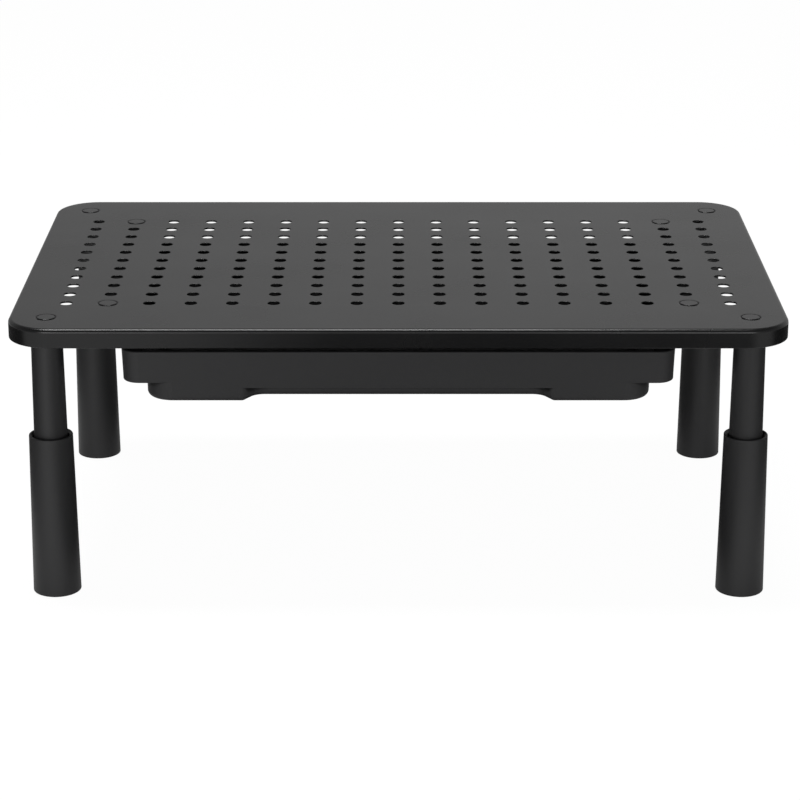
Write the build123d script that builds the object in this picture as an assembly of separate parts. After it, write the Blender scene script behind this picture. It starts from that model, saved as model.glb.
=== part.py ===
from build123d import *
import math
import os

# Height of the top surface over the desk, at the tallest leg setting
STAND_HEIGHT = 140.0

# Top plate: a pressed sheet pan with a turned-down rim
PLATE_WIDTH = 370.0
PLATE_DEPTH = 236.0
PLATE_CORNER_RADIUS = 21.5
PLATE_EDGE_RADIUS = 2.0
SHEET_THICKNESS = 0.9
RIM_HEIGHT = 9.3

# Vent holes in a regular grid, as many as the margins leave room for
HOLE_DIAMETER = 6.0
HOLE_PITCH_X = 20.0
HOLE_PITCH_Y = 15.0
HOLE_MARGIN_X = 25.0
HOLE_MARGIN_Y = 42.0
HOLE_COLUMNS = 2 * math.floor((PLATE_WIDTH / 2 - HOLE_MARGIN_X) / HOLE_PITCH_X) + 1
HOLE_ROWS = 2 * math.floor((PLATE_DEPTH / 2 - HOLE_MARGIN_Y) / HOLE_PITCH_Y) + 1

# Studs clinched into the sheet, their heads a little proud of it
STUD_DIAMETER = 6.0
STUD_COLLAR_DIAMETER = 6.6
STUD_HEAD_DIAMETER = 8.6
STUD_HEAD_HEIGHT = 0.55
STUD_HEAD_PROUD = 0.2
STUD_HEAD_EDGE_RADIUS = 0.4
STUD_END_CHAMFER = 0.2
STUD_SEAT_CLEARANCE = 0.05
LEG_STUD_LENGTH = 16.0
RAIL_STUD_END = 0.6

# Leg posts, each screwed on a stud by its moulded-in insert
LEG_SIDE_INSET = 18.0
LEG_END_INSET = 20.0
POST_TOP_DIAMETER = 14.9
POST_END_DIAMETER = 16.7
POST_BORE = 11.6
POST_HEAD_LENGTH = 19.0
POST_COLLAR_DIAMETER = 22.0
POST_COLLAR_HEIGHT = 4.0
POST_OVERLAP = 26.5
INSERT_DIAMETER = 8.4
INSERT_LENGTH = 13.0
THREAD_CLEARANCE = 0.05
STUD_END_CLEARANCE = 1.0

# Leg sleeves, which slide on the posts
SLEEVE_LENGTH = 80.5
SLEEVE_CLEARANCE = 0.35
SLEEVE_WALL = 1.85
SLEEVE_FLARE = 2.2
SLEEVE_FLOOR = 3.5
SLEEVE_EDGE_RADIUS = 0.5
SLEEVE_MOUTH_CHAMFER = 1.0
HEIGHT_STEP = 20.0
HEIGHT_SETTINGS = 3

# Foot pads, pressed into the sleeves from below
PAD_DIAMETER = 17.0
PAD_SEAT_DEPTH = 1.3
PAD_PROUD = 1.0
PAD_EDGE_RADIUS = 0.6
PAD_CLEARANCE = 0.05

# Push buttons that lock the sleeves
BUTTON_DIAMETER = 6.0
BUTTON_DROP = 14.0
BUTTON_CLEARANCE = 0.2
BUTTON_PROUD = 0.5
BUTTON_TIP_RADIUS = 1.0
BUTTON_FLANGE_DIAMETER = 8.4
BUTTON_FLANGE_THICKNESS = 1.6
BUTTON_FLANGE_CLEARANCE = 0.15

# Leaf springs behind the buttons
SPRING_WIDTH = 6.0
SPRING_THICKNESS = 0.5
SPRING_RISE = 24.0
SPRING_TAIL = 5.0
SPRING_BEND_RADIUS = 1.4
SPRING_CLEARANCE = 0.1

# Drawer: one moulding with a wide front and a narrower tray
DRAWER_SETBACK = 7.0
DRAWER_BACK_INSET = 33.0
DRAWER_GAP = 3.9
DRAWER_HEIGHT = 25.0
DRAWER_DRAFT_DEGREES = 2.0
DRAWER_RIM_RADIUS = 0.6
FRONT_STUD_OFFSET = 8.8
FRONT_EAR = 10.7
FRONT_HEIGHT = 15.8
FRONT_RETURN = 9.5
FRONT_CORNER_RADIUS = 8.5
FRONT_EDGE_RADIUS = 0.8
POCKET_RADIUS_SHARE = 0.9
TRAY_CORNER_RADIUS = 13.5
TRAY_EDGE_RADIUS = 2.5
TRAY_WALL = 2.2
TRAY_FLOOR = 2.2
TRAY_INNER_RADIUS = 1.6
RECESS_WIDTH = 146.0
RECESS_HEIGHT = 6.9
RECESS_DEPTH = 9.6
RECESS_FLARE = 6.0
RECESS_CORNER_RADIUS = 6.0
RECESS_MOUTH_RADIUS = 3.0

# Runners and stops along the tray's sides
RUNNER_THICKNESS = 2.6
RUNNER_CLEARANCE = 0.3
RUNNER_SIDE_CLEARANCE = 0.6
STOP_LENGTH = 6.0
STOP_HEIGHT = 3.0
STOP_BITE = 1.4
STOP_CLEARANCE = 0.4
STOP_INSET = 37.5

# Drawer rails
RAIL_WALL = 2.0
RAIL_FLANGE = 2.4
RAIL_FLANGE_MARGIN = 8.0
RAIL_SETBACK = 0.6
RAIL_LIFT = 1.0
RAIL_END_CLEARANCE = 0.6
RAIL_TAIL = 15.0
RAIL_END_DROP = 0.6
RAIL_LIP_CLEARANCE = 1.5
RAIL_STUD_CLEARANCE = 0.3
RAIL_RIB_THICKNESS = 2.0
RAIL_RIB_WIDTH = 10.0
RAIL_RIB_HEIGHT = 9.0
RAIL_RIB_SHARES = (0.3, 0.5, 0.7)

# Flange nuts under the rails
NUT_FLATS = 10.0
NUT_HEIGHT = 4.0
NUT_FLANGE_DIAMETER = 13.0
NUT_FLANGE_HEIGHT = 1.2

# Levels over the desk
SHEET_UNDERSIDE = STAND_HEIGHT - SHEET_THICKNESS
RIM_BOTTOM = STAND_HEIGHT - RIM_HEIGHT
SLEEVE_BOTTOM = PAD_PROUD
SLEEVE_TOP = SLEEVE_BOTTOM + SLEEVE_LENGTH
POST_END = SLEEVE_TOP - POST_OVERLAP
BUTTON_LEVEL = SLEEVE_TOP - BUTTON_DROP
DRAWER_TOP = RIM_BOTTOM - DRAWER_GAP
DRAWER_BOTTOM = DRAWER_TOP - DRAWER_HEIGHT
FRONT_BOTTOM = DRAWER_TOP - FRONT_HEIGHT
RAIL_BOTTOM = FRONT_BOTTOM + RAIL_LIFT
RAIL_FLANGE_UNDERSIDE = SHEET_UNDERSIDE - RAIL_FLANGE
RUNNER_BOTTOM = RAIL_BOTTOM + RAIL_WALL + RUNNER_CLEARANCE
RUNNER_TOP = RUNNER_BOTTOM + RUNNER_THICKNESS
RAIL_LIP_TOP = RUNNER_TOP + RUNNER_CLEARANCE + RAIL_WALL
STOP_BOTTOM = RAIL_LIP_TOP + STOP_CLEARANCE
RAIL_END_TOP = DRAWER_TOP - RAIL_END_DROP

# Places in plan, the front towards -Y
LEG_X = PLATE_WIDTH / 2 - LEG_SIDE_INSET
LEG_Y = PLATE_DEPTH / 2 - LEG_END_INSET
RAIL_STUD_X = HOLE_PITCH_X * ((HOLE_COLUMNS - 1) / 2 - 1)
RAIL_STUD_Y = HOLE_PITCH_Y * (HOLE_ROWS - 1) / 2
LEG_PLACES = {
    "front_left": (-LEG_X, -LEG_Y),
    "front_right": (LEG_X, -LEG_Y),
    "back_left": (-LEG_X, LEG_Y),
    "back_right": (LEG_X, LEG_Y),
}
RAIL_STUD_PLACES = [(x, y) for x in (-RAIL_STUD_X, RAIL_STUD_X) for y in (-RAIL_STUD_Y, RAIL_STUD_Y)]
DRAWER_FRONT = DRAWER_SETBACK - PLATE_DEPTH / 2
DRAWER_BACK = PLATE_DEPTH / 2 - DRAWER_BACK_INSET
DRAWER_DEPTH = DRAWER_BACK - DRAWER_FRONT
FRONT_WIDTH = 2 * (RAIL_STUD_X - FRONT_STUD_OFFSET)
TRAY_WIDTH = FRONT_WIDTH - 2 * FRONT_EAR
FRONT_BACK = DRAWER_FRONT + FRONT_RETURN
RAIL_FRONT = FRONT_BACK + RAIL_END_CLEARANCE
RAIL_BACK = RAIL_STUD_Y + RAIL_TAIL
RAIL_WEB_OUTER = FRONT_WIDTH / 2 - RAIL_SETBACK
RAIL_WEB_INNER = RAIL_WEB_OUTER - RAIL_WALL
RAIL_LIP_X = TRAY_WIDTH / 2 + RAIL_LIP_CLEARANCE
RAIL_FLANGE_OUTER = RAIL_STUD_X + RAIL_FLANGE_MARGIN
RUNNER_X = RAIL_WEB_INNER - RUNNER_SIDE_CLEARANCE
STOP_X = RAIL_LIP_X + STOP_BITE
STOP_BACK = DRAWER_BACK - STOP_INSET

# Radii that fit one another
POST_BORE_RADIUS = POST_BORE / 2
SLEEVE_BORE_RADIUS = POST_END_DIAMETER / 2 + SLEEVE_CLEARANCE
SLEEVE_TOP_RADIUS = SLEEVE_BORE_RADIUS + SLEEVE_WALL
SLEEVE_BOTTOM_RADIUS = SLEEVE_TOP_RADIUS + SLEEVE_FLARE / 2
STUD_RADIUS = STUD_DIAMETER / 2
THREAD_RADIUS = STUD_RADIUS + THREAD_CLEARANCE


def span(x0, x1, y0, y1, z0, z1):
    """A box between two corners."""
    corner = (min(x0, x1), min(y0, y1), min(z0, z1))
    block = Box(abs(x1 - x0), abs(y1 - y0), abs(z1 - z0), align=(Align.MIN,) * 3)
    return Pos(*corner) * block


def rod(radius, z0, z1, x=0, y=0):
    """An upright cylinder between two levels."""
    up = (Align.CENTER, Align.CENTER, Align.MIN)
    return Pos(x, y, min(z0, z1)) * Cylinder(radius, abs(z1 - z0), align=up)


def taper_rod(bottom_radius, top_radius, z0, z1):
    """An upright round taper between two levels."""
    up = (Align.CENTER, Align.CENTER, Align.MIN)
    return Pos(0, 0, z0) * Cone(bottom_radius, top_radius, z1 - z0, align=up)


def cross_rod(radius, y0, y1, z):
    """A cylinder along Y at one level."""
    return Pos(0, (y0 + y1) / 2, z) * Rot(90, 0, 0) * Cylinder(radius, y1 - y0)


def bottom_edges(solid):
    """The lowest edges of a solid."""
    return solid.edges().group_by(Axis.Z)[0]


def top_edges(solid):
    """The highest edges of a solid."""
    return solid.edges().group_by(Axis.Z)[-1]


def one_node(pieces):
    """Several like pieces as one node."""
    return Compound(children=[piece.solid() for piece in pieces])


def hole_places():
    """Centres of the grid positions that are open holes."""
    places = []
    for column in range(HOLE_COLUMNS):
        for row in range(HOLE_ROWS):
            x = HOLE_PITCH_X * (column - (HOLE_COLUMNS - 1) / 2)
            y = HOLE_PITCH_Y * (row - (HOLE_ROWS - 1) / 2)
            stud_column = column in (1, HOLE_COLUMNS - 2)
            if not (stud_column and row in (0, HOLE_ROWS - 1)):
                places.append((x, y))
    return places


def top_plate():
    """The pan with its rim, vent holes and stud seats."""
    outline = RectangleRounded(PLATE_WIDTH, PLATE_DEPTH, PLATE_CORNER_RADIUS)
    pan = Pos(0, 0, RIM_BOTTOM) * extrude(outline, RIM_HEIGHT)
    pan = fillet(top_edges(pan), PLATE_EDGE_RADIUS)
    inside = offset(outline, -SHEET_THICKNESS)
    hollow = Pos(0, 0, RIM_BOTTOM) * extrude(inside, RIM_HEIGHT - SHEET_THICKNESS)
    hollow = fillet(top_edges(hollow), PLATE_EDGE_RADIUS - SHEET_THICKNESS)
    vents = Sketch() + [Pos(x, y) * Circle(HOLE_DIAMETER / 2) for x, y in hole_places()]
    seats = []
    seat_floor = STAND_HEIGHT - STUD_HEAD_HEIGHT
    for x, y in list(LEG_PLACES.values()) + RAIL_STUD_PLACES:
        seats.append(rod(STUD_HEAD_DIAMETER / 2 + STUD_SEAT_CLEARANCE, seat_floor, STAND_HEIGHT, x, y))
        seats.append(rod(STUD_COLLAR_DIAMETER / 2 + STUD_SEAT_CLEARANCE, SHEET_UNDERSIDE, seat_floor, x, y))
    cuts = Pos(0, 0, SHEET_UNDERSIDE) * extrude(vents, SHEET_THICKNESS)
    return pan - hollow - cuts - seats


def stud(length):
    """A stud with a low round-edged head, its collar in the sheet and its shank below."""
    seat_floor = STAND_HEIGHT - STUD_HEAD_HEIGHT
    head = rod(STUD_HEAD_DIAMETER / 2, seat_floor, STAND_HEIGHT + STUD_HEAD_PROUD)
    head = fillet(top_edges(head), STUD_HEAD_EDGE_RADIUS)
    collar = rod(STUD_COLLAR_DIAMETER / 2, SHEET_UNDERSIDE, seat_floor)
    shank = rod(STUD_RADIUS, SHEET_UNDERSIDE - length, SHEET_UNDERSIDE)
    shank = chamfer(bottom_edges(shank), STUD_END_CHAMFER)
    return head + collar + shank


def leg_studs():
    piece = stud(LEG_STUD_LENGTH)
    return one_node([Pos(x, y, 0) * piece for x, y in LEG_PLACES.values()])


def rail_studs():
    piece = stud(RAIL_FLANGE + NUT_HEIGHT + RAIL_STUD_END)
    return one_node([Pos(x, y, 0) * piece for x, y in RAIL_STUD_PLACES])


def rail_nuts():
    """Hexagon nuts with a flange, run up against the rails."""
    flange_bottom = RAIL_FLANGE_UNDERSIDE - NUT_FLANGE_HEIGHT
    hexagon = RegularPolygon(NUT_FLATS / 2, 6, major_radius=False)
    nut = Pos(0, 0, RAIL_FLANGE_UNDERSIDE - NUT_HEIGHT) * extrude(hexagon, NUT_HEIGHT)
    nut += rod(NUT_FLANGE_DIAMETER / 2, flange_bottom, RAIL_FLANGE_UNDERSIDE)
    nut -= rod(THREAD_RADIUS, RAIL_FLANGE_UNDERSIDE - NUT_HEIGHT, RAIL_FLANGE_UNDERSIDE)
    return one_node([Pos(x, y, 0) * nut for x, y in RAIL_STUD_PLACES])


def rail():
    """The right-hand rail: flange, web, two lips that form the groove, ribs, stop and closed back end."""
    flange_top = SHEET_UNDERSIDE
    web_top = RAIL_FLANGE_UNDERSIDE
    body = span(RAIL_WEB_INNER, RAIL_FLANGE_OUTER, RAIL_FRONT, RAIL_BACK, web_top, flange_top)
    body += span(RAIL_WEB_INNER, RAIL_WEB_OUTER, RAIL_FRONT, RAIL_BACK, RAIL_BOTTOM, web_top)
    for level in (RAIL_BOTTOM, RAIL_LIP_TOP - RAIL_WALL):
        body += span(RAIL_LIP_X, RAIL_WEB_INNER, RAIL_FRONT, RAIL_BACK, level, level + RAIL_WALL)
    stop_top = STOP_BOTTOM + STOP_HEIGHT
    body += span(RAIL_LIP_X, RAIL_WEB_INNER, RAIL_FRONT, RAIL_FRONT + RAIL_WALL, RAIL_LIP_TOP, stop_top)
    back_wall = RAIL_BACK - RAIL_WALL
    body += span(RAIL_LIP_X, RAIL_WEB_INNER, back_wall, RAIL_BACK, RAIL_BOTTOM, RAIL_END_TOP)
    for share in RAIL_RIB_SHARES:
        corner = (RAIL_WEB_OUTER, web_top)
        side = (RAIL_WEB_OUTER + RAIL_RIB_WIDTH, web_top)
        foot = (RAIL_WEB_OUTER, web_top - RAIL_RIB_HEIGHT)
        triangle = Plane.XZ * make_face(Polyline(corner, side, foot, close=True))
        place = RAIL_FRONT + (RAIL_BACK - RAIL_FRONT) * share
        body += Pos(0, place, 0) * extrude(triangle, RAIL_RIB_THICKNESS / 2, both=True)
    for y in (-RAIL_STUD_Y, RAIL_STUD_Y):
        hole_radius = STUD_RADIUS + RAIL_STUD_CLEARANCE
        body -= rod(hole_radius, web_top, flange_top, RAIL_STUD_X, y)
    return body


def leg_post():
    """A tapered post with a collar under the sheet, an insert seat and a bore from below."""
    body = taper_rod(POST_END_DIAMETER / 2, POST_TOP_DIAMETER / 2, POST_END, SHEET_UNDERSIDE)
    body += rod(POST_COLLAR_DIAMETER / 2, SHEET_UNDERSIDE - POST_COLLAR_HEIGHT, SHEET_UNDERSIDE)
    body -= rod(POST_BORE_RADIUS, POST_END, SHEET_UNDERSIDE - POST_HEAD_LENGTH)
    body -= rod(INSERT_DIAMETER / 2, SHEET_UNDERSIDE - INSERT_LENGTH, SHEET_UNDERSIDE)
    stud_room = LEG_STUD_LENGTH + STUD_END_CLEARANCE
    body -= rod(THREAD_RADIUS, SHEET_UNDERSIDE - stud_room, SHEET_UNDERSIDE)
    hole_radius = BUTTON_DIAMETER / 2 + BUTTON_CLEARANCE
    body -= cross_rod(hole_radius, 0, POST_END_DIAMETER, BUTTON_LEVEL)
    return body


def post_inserts():
    """Threaded bushes in the heads of the posts."""
    bush = rod(INSERT_DIAMETER / 2, SHEET_UNDERSIDE - INSERT_LENGTH, SHEET_UNDERSIDE)
    bush -= rod(THREAD_RADIUS, SHEET_UNDERSIDE - INSERT_LENGTH, SHEET_UNDERSIDE)
    return one_node([Pos(x, y, 0) * bush for x, y in LEG_PLACES.values()])


def leg_sleeve():
    """A flared sleeve with a row of button holes at the back and a pad seat below."""
    body = taper_rod(SLEEVE_BOTTOM_RADIUS, SLEEVE_TOP_RADIUS, SLEEVE_BOTTOM, SLEEVE_TOP)
    body = fillet(top_edges(body) + bottom_edges(body), SLEEVE_EDGE_RADIUS)
    body -= rod(SLEEVE_BORE_RADIUS, SLEEVE_BOTTOM + SLEEVE_FLOOR, SLEEVE_TOP)
    mouth_radius = SLEEVE_BORE_RADIUS + SLEEVE_MOUTH_CHAMFER
    body -= taper_rod(SLEEVE_BORE_RADIUS, mouth_radius, SLEEVE_TOP - SLEEVE_MOUTH_CHAMFER, SLEEVE_TOP)
    body -= rod(PAD_DIAMETER / 2 + PAD_CLEARANCE, SLEEVE_BOTTOM, SLEEVE_BOTTOM + PAD_SEAT_DEPTH)
    hole_radius = BUTTON_DIAMETER / 2 + BUTTON_CLEARANCE
    for step in range(HEIGHT_SETTINGS):
        level = BUTTON_LEVEL - HEIGHT_STEP * step
        body -= cross_rod(hole_radius, 0, SLEEVE_BOTTOM_RADIUS * 2, level)
    return body


def foot_pad():
    body = rod(PAD_DIAMETER / 2, 0, SLEEVE_BOTTOM + PAD_SEAT_DEPTH)
    return fillet(bottom_edges(body), PAD_EDGE_RADIUS)


def lock_button():
    """A round button with a flange curved to the bore of the post."""
    flare_share = BUTTON_DROP / SLEEVE_LENGTH
    sleeve_radius = SLEEVE_TOP_RADIUS + SLEEVE_FLARE / 2 * flare_share
    seat_radius = POST_BORE_RADIUS - BUTTON_FLANGE_CLEARANCE
    flange_back = seat_radius - BUTTON_FLANGE_THICKNESS
    stem = cross_rod(BUTTON_DIAMETER / 2, flange_back, sleeve_radius + BUTTON_PROUD, BUTTON_LEVEL)
    stem = fillet(stem.edges().group_by(Axis.Y)[-1], BUTTON_TIP_RADIUS)
    flange = cross_rod(BUTTON_FLANGE_DIAMETER / 2, flange_back, POST_BORE_RADIUS, BUTTON_LEVEL)
    flange &= rod(seat_radius, BUTTON_LEVEL - BUTTON_FLANGE_DIAMETER, BUTTON_LEVEL + BUTTON_FLANGE_DIAMETER)
    return stem + flange


def button_spring():
    """A strip bent to a narrow V between the button's flange and the far wall of the bore."""
    half = SPRING_THICKNESS / 2
    seat_radius = POST_BORE_RADIUS - BUTTON_FLANGE_CLEARANCE
    near = seat_radius - BUTTON_FLANGE_THICKNESS - SPRING_CLEARANCE - half
    chord = math.sqrt(POST_BORE_RADIUS**2 - (SPRING_WIDTH / 2) ** 2)
    far = half + SPRING_CLEARANCE - chord
    low = BUTTON_LEVEL - SPRING_TAIL
    bend = BUTTON_LEVEL + SPRING_TAIL
    top = BUTTON_LEVEL + SPRING_RISE
    points = [(0, far, low), (0, far, top), (0, near, bend), (0, near, low)]
    path = FilletPolyline(*points, radius=SPRING_BEND_RADIUS)
    start = Plane(points[0], x_dir=(1, 0, 0), z_dir=(0, 0, 1))
    return sweep(start * Rectangle(SPRING_WIDTH, SPRING_THICKNESS), path=path)


def front_outline(width, back, corner_radius):
    """Plan of a block behind the drawer's front line, with round front corners."""
    depth = back - DRAWER_FRONT
    shape = Pos(0, DRAWER_FRONT + depth / 2) * Rectangle(width, depth)
    return fillet(shape.vertices().group_by(Axis.Y)[0], corner_radius)


def drawer_shell():
    """Outside of the drawer: the tray and, at its front, the wide part that hides the rails."""
    middle = (DRAWER_FRONT + DRAWER_BACK) / 2
    plan = Pos(0, middle) * RectangleRounded(TRAY_WIDTH, DRAWER_DEPTH, TRAY_CORNER_RADIUS)
    tray = Pos(0, 0, DRAWER_TOP) * extrude(plan, -DRAWER_HEIGHT, taper=DRAWER_DRAFT_DEGREES)
    tray = fillet(bottom_edges(tray), TRAY_EDGE_RADIUS)
    plan = front_outline(FRONT_WIDTH, FRONT_BACK, FRONT_CORNER_RADIUS)
    front = Pos(0, 0, DRAWER_TOP) * extrude(plan, -FRONT_HEIGHT, taper=DRAWER_DRAFT_DEGREES)
    front = fillet(bottom_edges(front), FRONT_EDGE_RADIUS)
    shell = tray + front
    return fillet(top_edges(shell), DRAWER_RIM_RADIUS)


def recess_plan(width, depth, corner_radius):
    """Plan of the finger recess, open to the front and wider there."""
    mouth = width / 2
    end = mouth - RECESS_FLARE
    back = DRAWER_FRONT + depth
    corners = [(-mouth, DRAWER_FRONT), (mouth, DRAWER_FRONT), (end, back), (-end, back)]
    shape = make_face(Polyline(*corners, close=True))
    return fillet(shape.vertices().group_by(Axis.Y)[-1], corner_radius)


def at_recess_mouth(edge):
    """Whether an edge stands where an end of the finger recess meets the drawer's face."""
    place = edge.center()
    beside = abs(abs(place.X) - RECESS_WIDTH / 2) < RECESS_MOUTH_RADIUS / 2
    in_front = place.Y < DRAWER_FRONT + RECESS_MOUTH_RADIUS / 2
    upright = edge.bounding_box().size.Z > RECESS_HEIGHT / 3
    return beside and in_front and upright


def drawer_hollow():
    """Inside of the tray, less the step over the finger recess, and the front's two pockets."""
    middle = (DRAWER_FRONT + DRAWER_BACK) / 2
    inner_width = TRAY_WIDTH - 2 * TRAY_WALL
    inner_depth = DRAWER_DEPTH - 2 * TRAY_WALL
    plan = Pos(0, middle) * RectangleRounded(inner_width, inner_depth, TRAY_CORNER_RADIUS - TRAY_WALL)
    hollow = Pos(0, 0, DRAWER_TOP) * extrude(plan, TRAY_FLOOR - DRAWER_HEIGHT, taper=DRAWER_DRAFT_DEGREES)
    hollow = fillet(bottom_edges(hollow), TRAY_INNER_RADIUS)
    plan = recess_plan(
        RECESS_WIDTH + 2 * TRAY_WALL, RECESS_DEPTH + TRAY_WALL, RECESS_CORNER_RADIUS + TRAY_WALL
    )
    step = Pos(0, 0, DRAWER_BOTTOM) * extrude(plan, RECESS_HEIGHT + TRAY_FLOOR)
    pocket_width = FRONT_WIDTH - 2 * TRAY_WALL
    pocket_depth = FRONT_RETURN - 2 * TRAY_WALL
    pocket_radius = min(FRONT_CORNER_RADIUS - TRAY_WALL, pocket_depth * POCKET_RADIUS_SHARE)
    plan = Pos(0, TRAY_WALL) * front_outline(pocket_width, DRAWER_FRONT + pocket_depth, pocket_radius)
    pockets = Pos(0, 0, DRAWER_TOP) * extrude(plan, TRAY_FLOOR - FRONT_HEIGHT, taper=DRAWER_DRAFT_DEGREES)
    half = TRAY_WIDTH / 2
    pockets -= span(-half, half, DRAWER_FRONT, DRAWER_BACK, DRAWER_BOTTOM, STAND_HEIGHT)
    return (hollow - step) + pockets


def drawer_tray():
    body = drawer_shell()
    inner = TRAY_WIDTH / 2 - TRAY_WALL
    runner_front = FRONT_BACK - TRAY_WALL
    runner_back = DRAWER_BACK - TRAY_CORNER_RADIUS
    stop_top = STOP_BOTTOM + STOP_HEIGHT
    for side in (-1, 1):
        body += span(inner * side, RUNNER_X * side, runner_front, runner_back, RUNNER_BOTTOM, RUNNER_TOP)
        body += span(inner * side, STOP_X * side, STOP_BACK - STOP_LENGTH, STOP_BACK, STOP_BOTTOM, stop_top)
    body -= drawer_hollow()
    plan = recess_plan(RECESS_WIDTH, RECESS_DEPTH, RECESS_CORNER_RADIUS)
    body -= Pos(0, 0, DRAWER_BOTTOM) * extrude(plan, RECESS_HEIGHT)
    mouth_edges = body.edges().filter_by(at_recess_mouth)
    return fillet(mouth_edges, RECESS_MOUTH_RADIUS)


os.makedirs("parts", exist_ok=True)
export_step(top_plate(), "parts/top_plate.step")
export_step(leg_studs(), "parts/leg_studs.step")
export_step(rail_studs(), "parts/rail_studs.step")
export_step(rail_nuts(), "parts/rail_nuts.step")
export_step(rail(), "parts/rail_right.step")
export_step(mirror(rail(), about=Plane.YZ), "parts/rail_left.step")
export_step(post_inserts(), "parts/post_inserts.step")
export_step(drawer_tray(), "parts/drawer_tray.step")
LEG_PIECES = {
    "leg_post": leg_post(),
    "button_spring": button_spring(),
    "leg_sleeve": leg_sleeve(),
    "foot_pad": foot_pad(),
    "lock_button": lock_button(),
}
for corner, (leg_x, leg_y) in LEG_PLACES.items():
    for name, piece in LEG_PIECES.items():
        export_step(Pos(leg_x, leg_y, 0) * piece, f"parts/{name}_{corner}.step")
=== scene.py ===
import math

import bmesh
import bpy
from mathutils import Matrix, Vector
from mathutils.geometry import delaunay_2d_cdt


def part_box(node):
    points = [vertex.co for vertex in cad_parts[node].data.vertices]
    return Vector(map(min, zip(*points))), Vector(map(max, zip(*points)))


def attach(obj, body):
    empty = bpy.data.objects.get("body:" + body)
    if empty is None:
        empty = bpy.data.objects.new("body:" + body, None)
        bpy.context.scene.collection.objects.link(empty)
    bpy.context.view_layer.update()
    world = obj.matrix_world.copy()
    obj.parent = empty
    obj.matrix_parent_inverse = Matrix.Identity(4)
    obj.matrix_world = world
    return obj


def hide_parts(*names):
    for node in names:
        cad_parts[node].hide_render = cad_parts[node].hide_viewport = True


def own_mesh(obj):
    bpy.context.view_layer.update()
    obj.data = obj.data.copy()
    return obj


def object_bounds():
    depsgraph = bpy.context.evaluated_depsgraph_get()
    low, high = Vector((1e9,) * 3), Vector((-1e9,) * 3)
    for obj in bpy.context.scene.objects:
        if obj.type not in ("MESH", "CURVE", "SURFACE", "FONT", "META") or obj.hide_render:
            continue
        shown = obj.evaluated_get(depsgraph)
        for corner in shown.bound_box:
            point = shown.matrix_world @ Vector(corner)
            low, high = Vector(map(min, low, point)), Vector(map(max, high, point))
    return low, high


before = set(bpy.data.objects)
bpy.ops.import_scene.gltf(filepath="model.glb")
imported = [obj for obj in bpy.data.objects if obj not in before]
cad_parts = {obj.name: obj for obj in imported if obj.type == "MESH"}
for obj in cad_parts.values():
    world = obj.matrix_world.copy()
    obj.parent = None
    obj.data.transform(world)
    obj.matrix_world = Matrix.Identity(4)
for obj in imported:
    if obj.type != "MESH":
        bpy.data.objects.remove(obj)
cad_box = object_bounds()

# Top plate. One sheet of mild steel, pressed into a shallow pan with a turned-down rim and pierced with
# rows of vent holes, then sprayed with satin black powder and baked. Every other piece hangs from it.
SHEET = 0.0009
PAN_CORNER_RADIUS = 0.0215
PAN_EDGE_RADIUS = 0.0020
PAN_CORNER_STEPS = 20
PAN_EDGE_STEPS = 8
HOLE_DIAMETER = 0.006
HOLE_EDGE_RADIUS = 0.00025
HOLE_EDGE_STEPS = 3
HOLE_SIDES = 40
HOLE_PITCH = Vector((0.020, 0.015))
HOLE_COLUMNS = 17
HOLE_ROWS = 11
SEAT_DIAMETER = 0.0094
SEAT_DEPTH = 0.00055
SEAT_BORE = 0.0067
SEAT_LIP_WIDTH = 0.0009
SEAT_LIP_DEPTH = 0.0004
LEG_INSET = Vector((0.018, 0.020))
# Points of the sheet nearer to each other than this are one point.
SAME_POINT_REACH = 2e-9
FILL_INSIDE = 1
SMOOTH_DEGREES = 35
POWDER_BLACK = "#0c0c0d"
POWDER_IOR = 1.5
POWDER_ROUGHNESS = (0.25, 0.28)
POWDER_PEEL = 0.0009
POWDER_GRAIN = 0.00022
POWDER_GRAIN_SHARE = 0.4
POWDER_RELIEF = 0.000007
HAND_MARKS = 0.045
# A noise texture keeps mostly between these two levels.
NOISE_LOW, NOISE_HIGH = 0.3, 0.7


def linear(colour):
    """An sRGB hex colour as linear RGBA."""
    parts = [int(colour[i:i + 2], 16) / 255 for i in (1, 3, 5)]
    return [p / 12.92 if p <= 0.04045 else ((p + 0.055) / 1.055) ** 2.4 for p in parts] + [1.0]


def add_node(tree, kind, inputs=None, **settings):
    """Adds a node, with its settings, socket values and links from other nodes' outputs."""
    made = tree.nodes.new(kind)
    for name, value in settings.items():
        setattr(made, name, value)
    for socket, value in (inputs or {}).items():
        if isinstance(value, bpy.types.NodeSocket):
            tree.links.new(value, made.inputs[socket])
        else:
            made.inputs[socket].default_value = value
    return made


def new_material(name):
    """An empty node material and its node tree."""
    material = bpy.data.materials.new(name)
    material.use_nodes = True
    material.node_tree.nodes.clear()
    return material, material.node_tree


def object_place(tree):
    """Coordinates in the object's own frame, in metres."""
    return add_node(tree, "ShaderNodeTexCoord").outputs["Object"]


def finish(material, tree, shader):
    """Links a shader to the surface and hands the material back."""
    add_node(tree, "ShaderNodeOutputMaterial", {"Surface": shader.outputs[0]})
    return material


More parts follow.
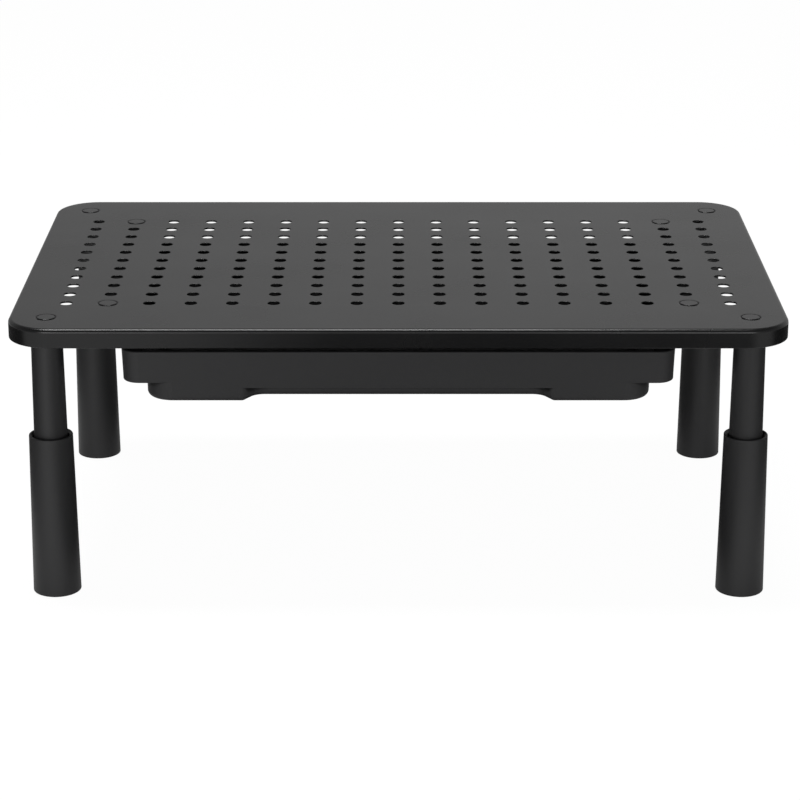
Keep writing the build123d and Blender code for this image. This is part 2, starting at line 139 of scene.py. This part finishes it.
def black_powder_coat():
    """Polyester powder, melted into a satin skin: a low orange peel with a faint dry grain on it."""
    material, tree = new_material("satin_black_powder_coat")
    place = object_place(tree)
    peel = add_node(tree, "ShaderNodeTexNoise", {"Vector": place, "Scale": 1 / POWDER_PEEL, "Detail": 1.0})
    grain = add_node(tree, "ShaderNodeTexNoise", {"Vector": place, "Scale": 1 / POWDER_GRAIN, "Detail": 2.0})
    marks = add_node(tree, "ShaderNodeTexNoise", {"Vector": place, "Scale": 1 / HAND_MARKS, "Detail": 3.0})
    gloss = add_node(tree, "ShaderNodeMapRange", {
        "Value": marks.outputs["Fac"], "From Min": NOISE_LOW, "From Max": NOISE_HIGH,
        "To Min": POWDER_ROUGHNESS[0], "To Max": POWDER_ROUGHNESS[1]})
    relief = add_node(tree, "ShaderNodeMath", {
        0: grain.outputs["Fac"], 1: POWDER_GRAIN_SHARE, 2: peel.outputs["Fac"]}, operation="MULTIPLY_ADD")
    bump = add_node(tree, "ShaderNodeBump", {
        "Height": relief.outputs[0], "Distance": POWDER_RELIEF, "Strength": 1.0})
    return finish(material, tree, add_node(tree, "ShaderNodeBsdfPrincipled", {
        "Base Color": linear(POWDER_BLACK), "Roughness": gloss.outputs["Result"], "IOR": POWDER_IOR,
        "Normal": bump.outputs["Normal"]}))


plate_low, plate_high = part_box("top_plate")
plate_half = (plate_high - plate_low) / 2
sheet_top = plate_high.z
sheet_under = sheet_top - SHEET


def pan_outline(inset):
    """Points round the pan, drawn in by an inset."""
    points = []
    radius = PAN_CORNER_RADIUS - inset
    corner = Vector((plate_half.x - PAN_CORNER_RADIUS, plate_half.y - PAN_CORNER_RADIUS))
    for quarter, (side_x, side_y) in enumerate(((1, 1), (-1, 1), (-1, -1), (1, -1))):
        centre = Vector((side_x * corner.x, side_y * corner.y))
        for step in range(PAN_CORNER_STEPS + 1):
            angle = math.pi / 2 * (quarter + step / PAN_CORNER_STEPS)
            points.append(centre + radius * Vector((math.cos(angle), math.sin(angle))))
    return points


def circle(centre, radius, sides):
    """Points round a circle."""
    turns = [2 * math.pi * side / sides for side in range(sides)]
    return [Vector(centre) + radius * Vector((math.cos(turn), math.sin(turn))) for turn in turns]


def quarter_round(steps):
    """Sines and cosines of a quarter turn in equal steps, without its start."""
    turns = [math.pi / 2 * step / steps for step in range(1, steps + 1)]
    return [(math.sin(turn), math.cos(turn)) for turn in turns]


def add_ring(mesh, points, level):
    """A ring of vertices at one level."""
    return [mesh.verts.new((point.x, point.y, level)) for point in points]


def join_rings(mesh, rings):
    """Quads between each ring and the next."""
    for upper, lower in zip(rings, rings[1:]):
        for i in range(len(upper)):
            j = (i + 1) % len(upper)
            mesh.faces.new((upper[i], lower[i], lower[j], upper[j]))


def pan_rim(mesh):
    """The rim, from the edge of the sheet's top round the hem to the edge of its underside."""
    inner_radius = PAN_EDGE_RADIUS - SHEET
    hem = SHEET / 2
    edge = quarter_round(PAN_EDGE_STEPS)
    whole_edge = [(0, 1)] + edge
    profile = [(PAN_EDGE_RADIUS, sheet_top)]
    profile += [(PAN_EDGE_RADIUS * (1 - s), sheet_top - PAN_EDGE_RADIUS * (1 - c)) for s, c in edge]
    profile += [(hem * (1 - c), plate_low.z + hem * (1 - s)) for s, c in whole_edge]
    profile += [(hem * (1 + s), plate_low.z + hem * (1 - c)) for s, c in edge]
    profile += [(SHEET + inner_radius * (1 - c), sheet_under - inner_radius * (1 - s)) for s, c in whole_edge]
    rings = [add_ring(mesh, pan_outline(inset), level) for inset, level in profile]
    join_rings(mesh, rings)
    return rings[0], rings[-1]


def vent_hole(mesh, centre):
    """A pierced hole with both its edges a little rounded."""
    radius = HOLE_DIAMETER / 2
    wide = radius + HOLE_EDGE_RADIUS
    edge = quarter_round(HOLE_EDGE_STEPS)
    profile = [(wide, sheet_top)]
    profile += [(wide - HOLE_EDGE_RADIUS * s, sheet_top - HOLE_EDGE_RADIUS * (1 - c)) for s, c in edge]
    profile += [(radius + HOLE_EDGE_RADIUS * (1 - c), sheet_under + HOLE_EDGE_RADIUS * (1 - s))
                for s, c in [(0, 1)] + edge]
    rings = [add_ring(mesh, circle(centre, r, HOLE_SIDES), level) for r, level in profile]
    join_rings(mesh, rings)
    return rings[0], rings[-1]


def stud_seat(mesh, centre):
    """A stepped hole for a stud's head and collar, its lip drawn down a little where the stud is clinched."""
    radius, bore = SEAT_DIAMETER / 2, SEAT_BORE / 2
    wide = radius + SEAT_LIP_WIDTH
    step = sheet_top - SEAT_DEPTH
    profile = [(wide, sheet_top)]
    profile += [(wide - SEAT_LIP_WIDTH * s, sheet_top - SEAT_LIP_DEPTH * (1 - c))
                for s, c in quarter_round(HOLE_EDGE_STEPS)]
    profile += [(radius, step), (bore, step), (bore, sheet_under)]
    rings = [add_ring(mesh, circle(centre, r, HOLE_SIDES), level) for r, level in profile]
    join_rings(mesh, rings)
    return rings[0], rings[-1]


def sheet_faces(mesh, loops):
    """Fills the sheet's two faces between its edge and its holes, with the same triangles above and below."""
    flat, outlines = [], []
    for upper, lower in loops:
        outlines.append(list(range(len(flat), len(flat) + len(upper))))
        flat += list(zip(upper, lower))
    points = [upper.co.to_2d() for upper, lower in flat]
    filled = delaunay_2d_cdt(points, [], outlines, FILL_INSIDE, SAME_POINT_REACH)
    triangles, first_points, parents = filled[2], filled[3], filled[5]
    for triangle, inside in zip(triangles, parents):
        if inside == [0]:
            corners = [flat[first_points[i][0]] for i in triangle]
            mesh.faces.new([upper for upper, lower in corners])
            mesh.faces.new([lower for upper, lower in reversed(corners)])


def grid_place(column, row):
    """Centre of a place in the grid of vent holes, counted from the middle."""
    return Vector((HOLE_PITCH.x * column, HOLE_PITCH.y * row))


columns = HOLE_COLUMNS // 2
rows = HOLE_ROWS // 2
leg_places = [Vector((x * (plate_half.x - LEG_INSET.x), y * (plate_half.y - LEG_INSET.y)))
              for x in (-1, 1) for y in (-1, 1)]
rail_stud_places = [grid_place(x * (columns - 1), y * rows) for x in (-1, 1) for y in (-1, 1)]
vent_places = [grid_place(x, y) for x in range(-columns, columns + 1) for y in range(-rows, rows + 1)]
vent_places = [place for place in vent_places if place not in rail_stud_places]

pan = bmesh.new()
loops = [pan_rim(pan)]
loops += [vent_hole(pan, place) for place in vent_places]
loops += [stud_seat(pan, place) for place in leg_places + rail_stud_places]
sheet_faces(pan, loops)


def new_piece(name, mesh, material):
    """An object of a finished mesh, smooth but for its sharp edges."""
    bmesh.ops.recalc_face_normals(mesh, faces=mesh.faces)
    data = bpy.data.meshes.new(name)
    mesh.to_mesh(data)
    mesh.free()
    data.shade_smooth()
    data.set_sharp_from_angle(angle=math.radians(SMOOTH_DEGREES))
    data.materials.append(material)
    made = bpy.data.objects.new(name, data)
    bpy.context.scene.collection.objects.link(made)
    return made


powder_coat = black_powder_coat()
pressed_pan = new_piece("pressed_pan", pan, powder_coat)
flat_normals = pressed_pan.modifiers.new("flat_sheet", "WEIGHTED_NORMAL")
flat_normals.keep_sharp = True
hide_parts("top_plate")
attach(pressed_pan, "platform")


# Studs. Eight steel studs with low round heads, clinched into the sheet before it is coated, so the same
# powder covers them. Four carry the legs and four the drawer's rails.
def coat(node, material):
    """Gives a carried-over node its material."""
    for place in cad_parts[node].material_slots:
        place.material = material


coat("leg_studs", powder_coat)
coat("rail_studs", powder_coat)

# Drawer rails. Two long black polypropylene mouldings, one at each side of the drawer, clamped up under the
# sheet by the rail studs. A groove along each carries the drawer's runner, and its back end is closed.
# Painted shade: the rails' colour is darker than the plastic's own black and their sheen is turned down,
# standing in for the deep shadow under the sheet seen through the vent holes.
RAIL_BLACK_AND_PAINTED_SHADE = "#060607"
RAIL_IOR = 1.49
RAIL_SPECULAR = 0.12
RAIL_ROUGHNESS = (0.68, 0.78)
RAIL_FLOW = 0.012
RAIL_GRAIN = 0.0004
RAIL_RELIEF = 0.000015


def rail_plastic():
    """Polypropylene from a plain mould: black, dull and waxy, with a slight flow in its gloss, and darkened
    to near black with its sheen turned down as painted shade for the shadow under the sheet.
    """
    material, tree = new_material("black_polypropylene_painted_shade")
    place = object_place(tree)
    flow = add_node(tree, "ShaderNodeTexNoise", {"Vector": place, "Scale": 1 / RAIL_FLOW, "Detail": 3.0})
    grain = add_node(tree, "ShaderNodeTexNoise", {"Vector": place, "Scale": 1 / RAIL_GRAIN, "Detail": 2.0})
    gloss = add_node(tree, "ShaderNodeMapRange", {
        "Value": flow.outputs["Fac"], "From Min": NOISE_LOW, "From Max": NOISE_HIGH,
        "To Min": RAIL_ROUGHNESS[0], "To Max": RAIL_ROUGHNESS[1]})
    bump = add_node(tree, "ShaderNodeBump", {
        "Height": grain.outputs["Fac"], "Distance": RAIL_RELIEF, "Strength": 1.0})
    return finish(material, tree, add_node(tree, "ShaderNodeBsdfPrincipled", {
        "Base Color": linear(RAIL_BLACK_AND_PAINTED_SHADE), "Roughness": gloss.outputs["Result"], "IOR": RAIL_IOR,
        "Specular IOR Level": RAIL_SPECULAR, "Normal": bump.outputs["Normal"]}))


rail_material = rail_plastic()
coat("rail_left", rail_material)
coat("rail_right", rail_material)

# Rail nuts. Four cold-formed steel hexagon nuts with a flange, plated with bright zinc. They run up on the
# rail studs from below and clamp the rails to the sheet.
ZINC_GREY = "#b6babd"
ZINC_BLUE = "#a9b3bd"
ZINC_ROUGHNESS = (0.24, 0.42)
ZINC_CLOUD = 0.0018
ZINC_RELIEF = 0.000006


def bright_zinc():
    """Zinc plate: bright, faintly blue in patches, a little cloudy."""
    material, tree = new_material("bright_zinc_plate")
    place = object_place(tree)
    cloud = add_node(tree, "ShaderNodeTexNoise", {"Vector": place, "Scale": 1 / ZINC_CLOUD, "Detail": 4.0})
    tint = add_node(tree, "ShaderNodeMix", {
        "Factor": cloud.outputs["Fac"], "A": linear(ZINC_GREY), "B": linear(ZINC_BLUE)}, data_type="RGBA")
    gloss = add_node(tree, "ShaderNodeMapRange", {
        "Value": cloud.outputs["Fac"], "To Min": ZINC_ROUGHNESS[0], "To Max": ZINC_ROUGHNESS[1]})
    bump = add_node(tree, "ShaderNodeBump", {
        "Height": cloud.outputs["Fac"], "Distance": ZINC_RELIEF, "Strength": 1.0})
    return finish(material, tree, add_node(tree, "ShaderNodeBsdfPrincipled", {
        "Base Color": tint.outputs["Result"], "Metallic": 1.0, "Roughness": gloss.outputs["Result"],
        "Normal": bump.outputs["Normal"]}))


coat("rail_nuts", bright_zinc())

# Leg posts. Four tapered tubes moulded in black ABS, screwed on the leg studs until their collars bear on
# the sheet. The mould's fine blasting leaves them satin.
CORNERS = ("front_left", "front_right", "back_left", "back_right")
LEG_BLACK = "#282829"
LEG_IOR = 1.5
LEG_ROUGHNESS = (0.42, 0.5)
LEG_GRAIN = 0.0003
LEG_RELIEF = 0.00001
LEG_STREAK = 0.0075
LEG_STREAK_SHARE = 0.06


def leg_plastic():
    """ABS from a finely blasted mould: satin, with long faint streaks up the leg."""
    material, tree = new_material("satin_black_abs")
    place = object_place(tree)
    stretch = add_node(tree, "ShaderNodeMapping", {"Vector": place, "Scale": (1.0, 1.0, LEG_STREAK_SHARE)})
    streak = add_node(tree, "ShaderNodeTexNoise", {
        "Vector": stretch.outputs["Vector"], "Scale": 1 / LEG_STREAK, "Detail": 2.0})
    grain = add_node(tree, "ShaderNodeTexNoise", {"Vector": place, "Scale": 1 / LEG_GRAIN, "Detail": 2.0})
    gloss = add_node(tree, "ShaderNodeMapRange", {
        "Value": streak.outputs["Fac"], "From Min": NOISE_LOW, "From Max": NOISE_HIGH,
        "To Min": LEG_ROUGHNESS[0], "To Max": LEG_ROUGHNESS[1]})
    bump = add_node(tree, "ShaderNodeBump", {
        "Height": grain.outputs["Fac"], "Distance": LEG_RELIEF, "Strength": 1.0})
    return finish(material, tree, add_node(tree, "ShaderNodeBsdfPrincipled", {
        "Base Color": linear(LEG_BLACK), "Roughness": gloss.outputs["Result"], "IOR": LEG_IOR,
        "Normal": bump.outputs["Normal"]}))


leg_material = leg_plastic()
for corner in CORNERS:
    coat("leg_post_" + corner, leg_material)

# Post inserts. Four threaded bushes turned from free-cutting brass and moulded into the heads of the posts,
# where they take the leg studs.
BRASS_YELLOW = "#c9a45c"
BRASS_ROUGHNESS = (0.22, 0.4)
BRASS_LATHE = 0.0002
BRASS_LATHE_SHARE = 0.05
BRASS_RELIEF = 0.000008


def turned_brass():
    """Free-cutting brass with the fine rings of the lathe."""
    material, tree = new_material("turned_brass")
    place = object_place(tree)
    flatten = add_node(tree, "ShaderNodeMapping", {
        "Vector": place, "Scale": (BRASS_LATHE_SHARE, BRASS_LATHE_SHARE, 1.0)})
    rings = add_node(tree, "ShaderNodeTexNoise", {
        "Vector": flatten.outputs["Vector"], "Scale": 1 / BRASS_LATHE, "Detail": 2.0})
    gloss = add_node(tree, "ShaderNodeMapRange", {
        "Value": rings.outputs["Fac"], "To Min": BRASS_ROUGHNESS[0], "To Max": BRASS_ROUGHNESS[1]})
    bump = add_node(tree, "ShaderNodeBump", {
        "Height": rings.outputs["Fac"], "Distance": BRASS_RELIEF, "Strength": 1.0})
    return finish(material, tree, add_node(tree, "ShaderNodeBsdfPrincipled", {
        "Base Color": linear(BRASS_YELLOW), "Metallic": 1.0, "Roughness": gloss.outputs["Result"],
        "Normal": bump.outputs["Normal"]}))


coat("post_inserts", turned_brass())

# Button springs. Four strips of cold-rolled spring steel, each bent to a narrow V and slipped into the bore
# of a post. Its back leg lies on the bore and its front leg pushes the button out, so it closes on a press.
STRIP_THICKNESS = 0.0005
STRIP_EDGE = 0.0001
STRIP_RISE = 0.024
STRIP_TAIL = 0.005
STRIP_BEND_RADIUS = 0.0014
STRIP_BEND_STEPS = 10
STRIP_GREY = "#8f9296"
STRIP_ROUGHNESS = (0.25, 0.4)
ROLLING_LINES = 0.0003
ROLLING_LINES_SHARE = 0.05
ROLLING_RELIEF = 0.000004


def rolled_strip():
    """Cold-rolled spring steel with fine lines along the strip."""
    material, tree = new_material("rolled_spring_steel")
    place = object_place(tree)
    stretch = add_node(tree, "ShaderNodeMapping", {
        "Vector": place, "Scale": (1.0, ROLLING_LINES_SHARE, ROLLING_LINES_SHARE)})
    lines = add_node(tree, "ShaderNodeTexNoise", {
        "Vector": stretch.outputs["Vector"], "Scale": 1 / ROLLING_LINES, "Detail": 2.0})
    gloss = add_node(tree, "ShaderNodeMapRange", {
        "Value": lines.outputs["Fac"], "To Min": STRIP_ROUGHNESS[0], "To Max": STRIP_ROUGHNESS[1]})
    bump = add_node(tree, "ShaderNodeBump", {
        "Height": lines.outputs["Fac"], "Distance": ROLLING_RELIEF, "Strength": 1.0})
    return finish(material, tree, add_node(tree, "ShaderNodeBsdfPrincipled", {
        "Base Color": linear(STRIP_GREY), "Metallic": 1.0, "Roughness": gloss.outputs["Result"],
        "Normal": bump.outputs["Normal"]}))


def bent_line(corners, radius, steps):
    """Points along a line in a plane, with an arc at each of its inner corners."""
    points = [corners[0]]
    for before, corner, after in zip(corners, corners[1:], corners[2:]):
        back = (before - corner).normalized()
        ahead = (after - corner).normalized()
        half_angle = back.angle(ahead) / 2
        centre = corner + (back + ahead).normalized() * radius / math.sin(half_angle)
        run = radius / math.tan(half_angle)
        first, last = corner + back * run - centre, corner + ahead * run - centre
        points += [centre + radius * first.slerp(last, step / steps) for step in range(steps + 1)]
    return points + [corners[-1]]


def v_spring(low, high, level):
    """A strip with eased edges, bent to a V between the faces of a box and pressing at a level."""
    half = STRIP_THICKNESS / 2
    middle, half_width = (low.x + high.x) / 2, (high.x - low.x) / 2
    back, front = low.y + half, high.y - half
    corners = [(back, level - STRIP_TAIL), (back, level + STRIP_RISE),
               (front, level + STRIP_TAIL), (front, level - STRIP_TAIL)]
    line = bent_line([Vector(corner) for corner in corners], STRIP_BEND_RADIUS, STRIP_BEND_STEPS)
    flat, thin = half_width - STRIP_EDGE, half - STRIP_EDGE
    section = [(half_width, thin), (flat, half), (-flat, half), (-half_width, thin),
               (-half_width, -thin), (-flat, -half), (flat, -half), (half_width, -thin)]
    mesh = bmesh.new()
    rings = []
    for i, point in enumerate(line):
        along = (line[min(i + 1, len(line) - 1)] - line[max(i - 1, 0)]).normalized()
        across = Vector((-along.y, along.x))
        places = [(width, point + across * depth) for width, depth in section]
        rings.append([mesh.verts.new((middle + width, place.x, place.y)) for width, place in places])
    join_rings(mesh, rings)
    mesh.faces.new(rings[0])
    mesh.faces.new(rings[-1])
    return mesh


spring_steel = rolled_strip()
for corner in CORNERS:
    strip_low, strip_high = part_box("button_spring_" + corner)
    button_low, button_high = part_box("lock_button_" + corner)
    strip = v_spring(strip_low, strip_high, (button_low.z + button_high.z) / 2)
    spring = new_piece("leaf_spring_" + corner, strip, spring_steel)
    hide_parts("button_spring_" + corner)
    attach(spring, "platform")
    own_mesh(spring)

# Lock buttons. Four round buttons moulded in black acetal, each with a flange that keeps it in its post.
# They stand through the post and the sleeve and lock the leg at one of its three heights.
BUTTON_BLACK = "#1a1a1b"
BUTTON_IOR = 1.48
BUTTON_ROUGHNESS = (0.3, 0.4)
BUTTON_GRAIN = 0.0005
BUTTON_RELIEF = 0.000006


def button_acetal():
    """Acetal: hard and slippery, a little glossier than the leg round it."""
    material, tree = new_material("black_acetal")
    place = object_place(tree)
    grain = add_node(tree, "ShaderNodeTexNoise", {"Vector": place, "Scale": 1 / BUTTON_GRAIN, "Detail": 2.0})
    gloss = add_node(tree, "ShaderNodeMapRange", {
        "Value": grain.outputs["Fac"], "To Min": BUTTON_ROUGHNESS[0], "To Max": BUTTON_ROUGHNESS[1]})
    bump = add_node(tree, "ShaderNodeBump", {
        "Height": grain.outputs["Fac"], "Distance": BUTTON_RELIEF, "Strength": 1.0})
    return finish(material, tree, add_node(tree, "ShaderNodeBsdfPrincipled", {
        "Base Color": linear(BUTTON_BLACK), "Roughness": gloss.outputs["Result"], "IOR": BUTTON_IOR,
        "Normal": bump.outputs["Normal"]}))


acetal = button_acetal()
for corner in CORNERS:
    coat("lock_button_" + corner, acetal)

# Leg sleeves. Four flared tubes of the same black ABS as the posts, pushed on them from below. They slide
# to set the stand's height and have three button holes each.
for corner in CORNERS:
    coat("leg_sleeve_" + corner, leg_material)

# Foot pads. Four soft discs of black rubber, moulded with a rounded edge and pressed into the lower ends of
# the sleeves, so that the stand doesn't slip or scratch.
RUBBER_BLACK = "#161616"
RUBBER_IOR = 1.52
RUBBER_ROUGHNESS = (0.72, 0.9)
RUBBER_GRAIN = 0.0006
RUBBER_RELIEF = 0.00003


def pad_rubber():
    """Moulded rubber: dull, with a dry grain."""
    material, tree = new_material("black_rubber")
    place = object_place(tree)
    grain = add_node(tree, "ShaderNodeTexNoise", {"Vector": place, "Scale": 1 / RUBBER_GRAIN, "Detail": 3.0})
    gloss = add_node(tree, "ShaderNodeMapRange", {
        "Value": grain.outputs["Fac"], "To Min": RUBBER_ROUGHNESS[0], "To Max": RUBBER_ROUGHNESS[1]})
    bump = add_node(tree, "ShaderNodeBump", {
        "Height": grain.outputs["Fac"], "Distance": RUBBER_RELIEF, "Strength": 1.0})
    return finish(material, tree, add_node(tree, "ShaderNodeBsdfPrincipled", {
        "Base Color": linear(RUBBER_BLACK), "Roughness": gloss.outputs["Result"], "IOR": RUBBER_IOR,
        "Normal": bump.outputs["Normal"]}))


rubber = pad_rubber()
for corner in CORNERS:
    coat("foot_pad_" + corner, rubber)

# Drawer. One moulding of black high-impact polystyrene with a fine spark-eroded skin. It hangs by its
# runners in the two rails, and a finger recess under its front pulls it out.
DRAWER_BLACK = "#343435"
# Painted shade: near the moulding's own tight corners and recesses, such as the ends of the finger recess,
# its colour is blended down to this near black.
DRAWER_PAINTED_SHADE_BLACK = "#020202"
DRAWER_IOR = 1.5
DRAWER_SPECULAR = 0.35
DRAWER_ROUGHNESS = (0.5, 0.58)
DRAWER_PAINTED_SHADE_REACH = 0.006
DRAWER_PAINTED_SHADE_SHARES = (0.73, 0.86)
SPARK_GRAIN = 0.00035
SPARK_RELIEF = 0.000018
DRAWER_FLOW = 0.05


def drawer_plastic():
    """Polystyrene from a spark-eroded mould: matt, with an even fine grain, and painted shade that darkens
    its colour to near black in tight corners and recesses.
    """
    material, tree = new_material("matt_black_polystyrene_painted_shade")
    place = object_place(tree)
    spark = add_node(tree, "ShaderNodeTexVoronoi", {
        "Vector": place, "Scale": 1 / SPARK_GRAIN}, feature="SMOOTH_F1")
    flow = add_node(tree, "ShaderNodeTexNoise", {"Vector": place, "Scale": 1 / DRAWER_FLOW, "Detail": 3.0})
    gloss = add_node(tree, "ShaderNodeMapRange", {
        "Value": flow.outputs["Fac"], "From Min": NOISE_LOW, "From Max": NOISE_HIGH,
        "To Min": DRAWER_ROUGHNESS[0], "To Max": DRAWER_ROUGHNESS[1]})
    bump = add_node(tree, "ShaderNodeBump", {
        "Height": spark.outputs["Distance"], "Distance": SPARK_RELIEF, "Strength": 1.0})
    # Painted shade: ambient occlusion from the drawer alone sets how far the base colour is darkened towards
    # near black.
    corner = add_node(tree, "ShaderNodeAmbientOcclusion", {"Distance": DRAWER_PAINTED_SHADE_REACH}, only_local=True)
    unshaded_share = add_node(tree, "ShaderNodeMapRange", {
        "Value": corner.outputs["AO"],
        "From Min": DRAWER_PAINTED_SHADE_SHARES[0], "From Max": DRAWER_PAINTED_SHADE_SHARES[1]})
    painted_shade_tone = add_node(tree, "ShaderNodeMix", {
        "Factor": unshaded_share.outputs["Result"], "A": linear(DRAWER_PAINTED_SHADE_BLACK), "B": linear(DRAWER_BLACK)},
        data_type="RGBA")
    return finish(material, tree, add_node(tree, "ShaderNodeBsdfPrincipled", {
        "Base Color": painted_shade_tone.outputs["Result"], "Roughness": gloss.outputs["Result"], "IOR": DRAWER_IOR,
        "Specular IOR Level": DRAWER_SPECULAR, "Normal": bump.outputs["Normal"]}))


coat("drawer_tray", drawer_plastic())

# Floor. A wide board painted pale grey, which the stand is set on. The camera sees it as white with a faint
# shadow, and the stand's own sheen shows it mostly as it is lit, darker under the plate.
FLOOR_REACH = 9.0
FLOOR_CELLS = 8
FLOOR_PALE = "#e2e2e2"
FLOOR_WHITE = "#ffffff"
FLOOR_WHITE_LEVEL = 1.08
FLOOR_CAMERA_SHARE = 0.9
FLOOR_MIRROR_SHARE = 0.3

floor_mesh = bmesh.new()
bmesh.ops.create_grid(floor_mesh, x_segments=FLOOR_CELLS, y_segments=FLOOR_CELLS, size=FLOOR_REACH)
bmesh.ops.translate(floor_mesh, verts=floor_mesh.verts, vec=(0, 0, cad_box[0].z))


def pale_floor():
    """Painted board: lit by the lamps, and lifted to white for the camera and in part for reflections."""
    material, tree = new_material("pale_painted_board")
    ray = add_node(tree, "ShaderNodeLightPath")
    mirrored = add_node(tree, "ShaderNodeMath", {
        0: ray.outputs["Is Glossy Ray"], 1: ray.outputs["Is Transmission Ray"]}, operation="MAXIMUM")
    part = add_node(tree, "ShaderNodeMath", {
        0: mirrored.outputs[0], 1: FLOOR_MIRROR_SHARE}, operation="MULTIPLY")
    whole = add_node(tree, "ShaderNodeMath", {
        0: ray.outputs["Is Camera Ray"], 1: FLOOR_CAMERA_SHARE}, operation="MULTIPLY")
    lift = add_node(tree, "ShaderNodeMath", {0: part.outputs[0], 1: whole.outputs[0]}, operation="MAXIMUM")
    board = add_node(tree, "ShaderNodeBsdfDiffuse", {"Color": linear(FLOOR_PALE)})
    white = add_node(tree, "ShaderNodeEmission", {
        "Color": linear(FLOOR_WHITE), "Strength": FLOOR_WHITE_LEVEL})
    return finish(material, tree, add_node(tree, "ShaderNodeMixShader", {
        0: lift.outputs[0], 1: board.outputs[0], 2: white.outputs[0]}))


floor = new_piece("floor", floor_mesh, pale_floor())

# Backdrop. A white paper sweep that rises behind the stand, in a room with grey walls. The camera sees plain
# white, and the plate's sheen shows the sweep as it is lit: brightest low down, a little darker on the left.
BACKDROP_WHITE = "#ffffff"
ROOM_FILL = 0.12
ROOM_DIM = 0.14
SWEEP_BRIGHT = 0.49
SWEEP_LEFT_SHARE = 0.6
WALL_SHARE = 0.5
SWEEP_BACK = (0.05, 0.6)
SWEEP_HEIGHT = (0.75, 0.4)
SWEEP_SIDE = (-0.35, 0.1)

world = bpy.data.worlds.new("studio")
world.use_nodes = True
bpy.context.scene.world = world
sky = world.node_tree
sky.nodes.clear()
toward = add_node(sky, "ShaderNodeTexCoord").outputs["Generated"]
direction = add_node(sky, "ShaderNodeSeparateXYZ", {0: toward}).outputs
behind = add_node(sky, "ShaderNodeMapRange", {
    "Value": direction["Y"], "From Min": SWEEP_BACK[0], "From Max": SWEEP_BACK[1],
    "To Min": WALL_SHARE, "To Max": 1.0}, interpolation_type="SMOOTHSTEP")
low_down = add_node(sky, "ShaderNodeMapRange", {
    "Value": direction["Z"], "From Min": SWEEP_HEIGHT[0], "From Max": SWEEP_HEIGHT[1]},
    interpolation_type="SMOOTHSTEP")
sideways = add_node(sky, "ShaderNodeMapRange", {
    "Value": direction["X"], "From Min": SWEEP_SIDE[0], "From Max": SWEEP_SIDE[1],
    "To Min": SWEEP_LEFT_SHARE, "To Max": 1.0}, interpolation_type="SMOOTHSTEP")
paper = add_node(sky, "ShaderNodeMath", {
    0: behind.outputs["Result"], 1: low_down.outputs["Result"]}, operation="MULTIPLY")
paper = add_node(sky, "ShaderNodeMath", {
    0: paper.outputs[0], 1: sideways.outputs["Result"]}, operation="MULTIPLY")
sweep = add_node(sky, "ShaderNodeMapRange", {
    "Value": paper.outputs[0], "To Min": ROOM_DIM, "To Max": SWEEP_BRIGHT})
ray = add_node(sky, "ShaderNodeLightPath")
mirrored = add_node(sky, "ShaderNodeMath", {
    0: ray.outputs["Is Glossy Ray"], 1: ray.outputs["Is Transmission Ray"]}, operation="MAXIMUM")
lit = add_node(sky, "ShaderNodeMix", {
    "Factor": mirrored.outputs[0], "A": ROOM_FILL, "B": sweep.outputs["Result"]}, data_type="FLOAT")
level = add_node(sky, "ShaderNodeMath", {
    0: ray.outputs["Is Camera Ray"], 1: lit.outputs["Result"]}, operation="MAXIMUM")
room = add_node(sky, "ShaderNodeBackground", {"Color": linear(BACKDROP_WHITE), "Strength": level.outputs[0]})
add_node(sky, "ShaderNodeOutputWorld", {"Surface": room.outputs[0]})

# Softboxes. A long one hangs over the left of the stand and draws a thin bright line along the plate's front
# edge, which fades to the right. One at each side of the camera lights the drawer and the legs. Each has its
# place, its size and its watts, and faces the nearest point of the stand.
SOFTBOXES = {
    "overhead_softbox": ((-0.15, 0.0, 1.25), (0.7, 0.28), 9.8),
    "left_softbox": ((-0.55, -1.5, 0.34), (0.6, 0.56), 3.7),
    "right_softbox": ((0.5, -1.55, 0.34), (0.6, 0.56), 3.05),
}

for name, (place, (width, height), watts) in SOFTBOXES.items():
    nearest = [min(max(at, low), high) for at, low, high in zip(place, *cad_box)]
    lamp = bpy.data.lights.new(name, "AREA")
    lamp.shape = "RECTANGLE"
    lamp.size, lamp.size_y = width, height
    lamp.energy = watts
    softbox = bpy.data.objects.new(name, lamp)
    softbox.location = place
    softbox.rotation_euler = (Vector(nearest) - Vector(place)).to_track_quat("-Z", "Y").to_euler()
    bpy.context.scene.collection.objects.link(softbox)

# Dark cards. Sheets of grey card laid on the floor, out of the picture. Only the sheen of the stand shows
# them: they darken the middle of the rim, its corners and the sides of the legs.
CARD_GREY = "#565656"
CARD_LIFT = 0.002
CARDS = {
    "front_card": ((-0.1, -1.1), (0.35, -0.33)),
    "left_card": ((-1.1, -0.22), (-0.28, 0.35)),
    "right_card": ((0.28, -0.22), (1.1, 0.35)),
    "middle_card": ((-0.12, -0.33), (0.12, 0.45)),
}


def grey_card():
    """Uncoated card: plain matt grey."""
    material, tree = new_material("grey_card")
    return finish(material, tree, add_node(tree, "ShaderNodeBsdfDiffuse", {"Color": linear(CARD_GREY)}))


card_material = grey_card()
for name, ((left, near), (right, far)) in CARDS.items():
    card_mesh = bmesh.new()
    corners = ((left, near), (right, near), (right, far), (left, far))
    card_mesh.faces.new([card_mesh.verts.new((x, y, cad_box[0].z + CARD_LIFT)) for x, y in corners])
    card = new_piece(name, card_mesh, card_material)
    card.visible_camera = False
    card.visible_diffuse = False
    card.visible_shadow = False

# Camera. A long lens a little over a metre in front of the stand and half a metre up, looking down on the
# plate, with no shift, so that the uprights lean in a little.
CAMERA_PLACE = (0.0008, -1.3221, 0.5173)
CAMERA_DOWN = 18.887
CAMERA_LENS = 121.63

lens = bpy.data.cameras.new("camera")
lens.lens = CAMERA_LENS
camera = bpy.data.objects.new("camera", lens)
camera.location = CAMERA_PLACE
camera.rotation_euler = (math.radians(90 - CAMERA_DOWN), 0, 0)
bpy.context.scene.collection.objects.link(camera)
bpy.context.scene.camera = camera
bpy.context.scene.view_settings.view_transform = "Standard"
